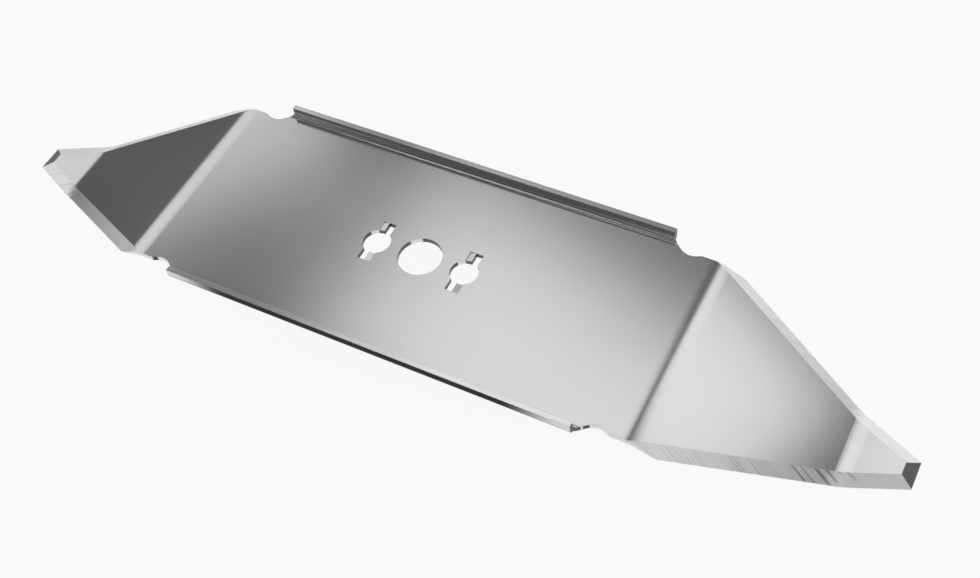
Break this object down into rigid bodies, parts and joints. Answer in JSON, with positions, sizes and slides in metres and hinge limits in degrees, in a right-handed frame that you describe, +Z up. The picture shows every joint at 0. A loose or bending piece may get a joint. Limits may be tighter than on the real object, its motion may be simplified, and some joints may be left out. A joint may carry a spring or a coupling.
{
  "type": "rotary mower blade",
  "caption": "Folded and ground sheet-steel rotary mower blade with a flanged centre plate, angled wings, a central bore and slotted bolt holes.",
  "frame": {"origin": "centre of the bore on the underside of the centre plate", "axes": "+Z up the bore axis, on the side that the flanges stand on; +X along the blade"},
  "size_m": [0.2798, 0.0676, 0.0223],
  "materials": {
    "blade_steel": "smooth rolled sheet, with ground edges"
  },
  "bodies": {
    "root": {"mower_blade": "blade_steel"}
  },
  "joints": []
}
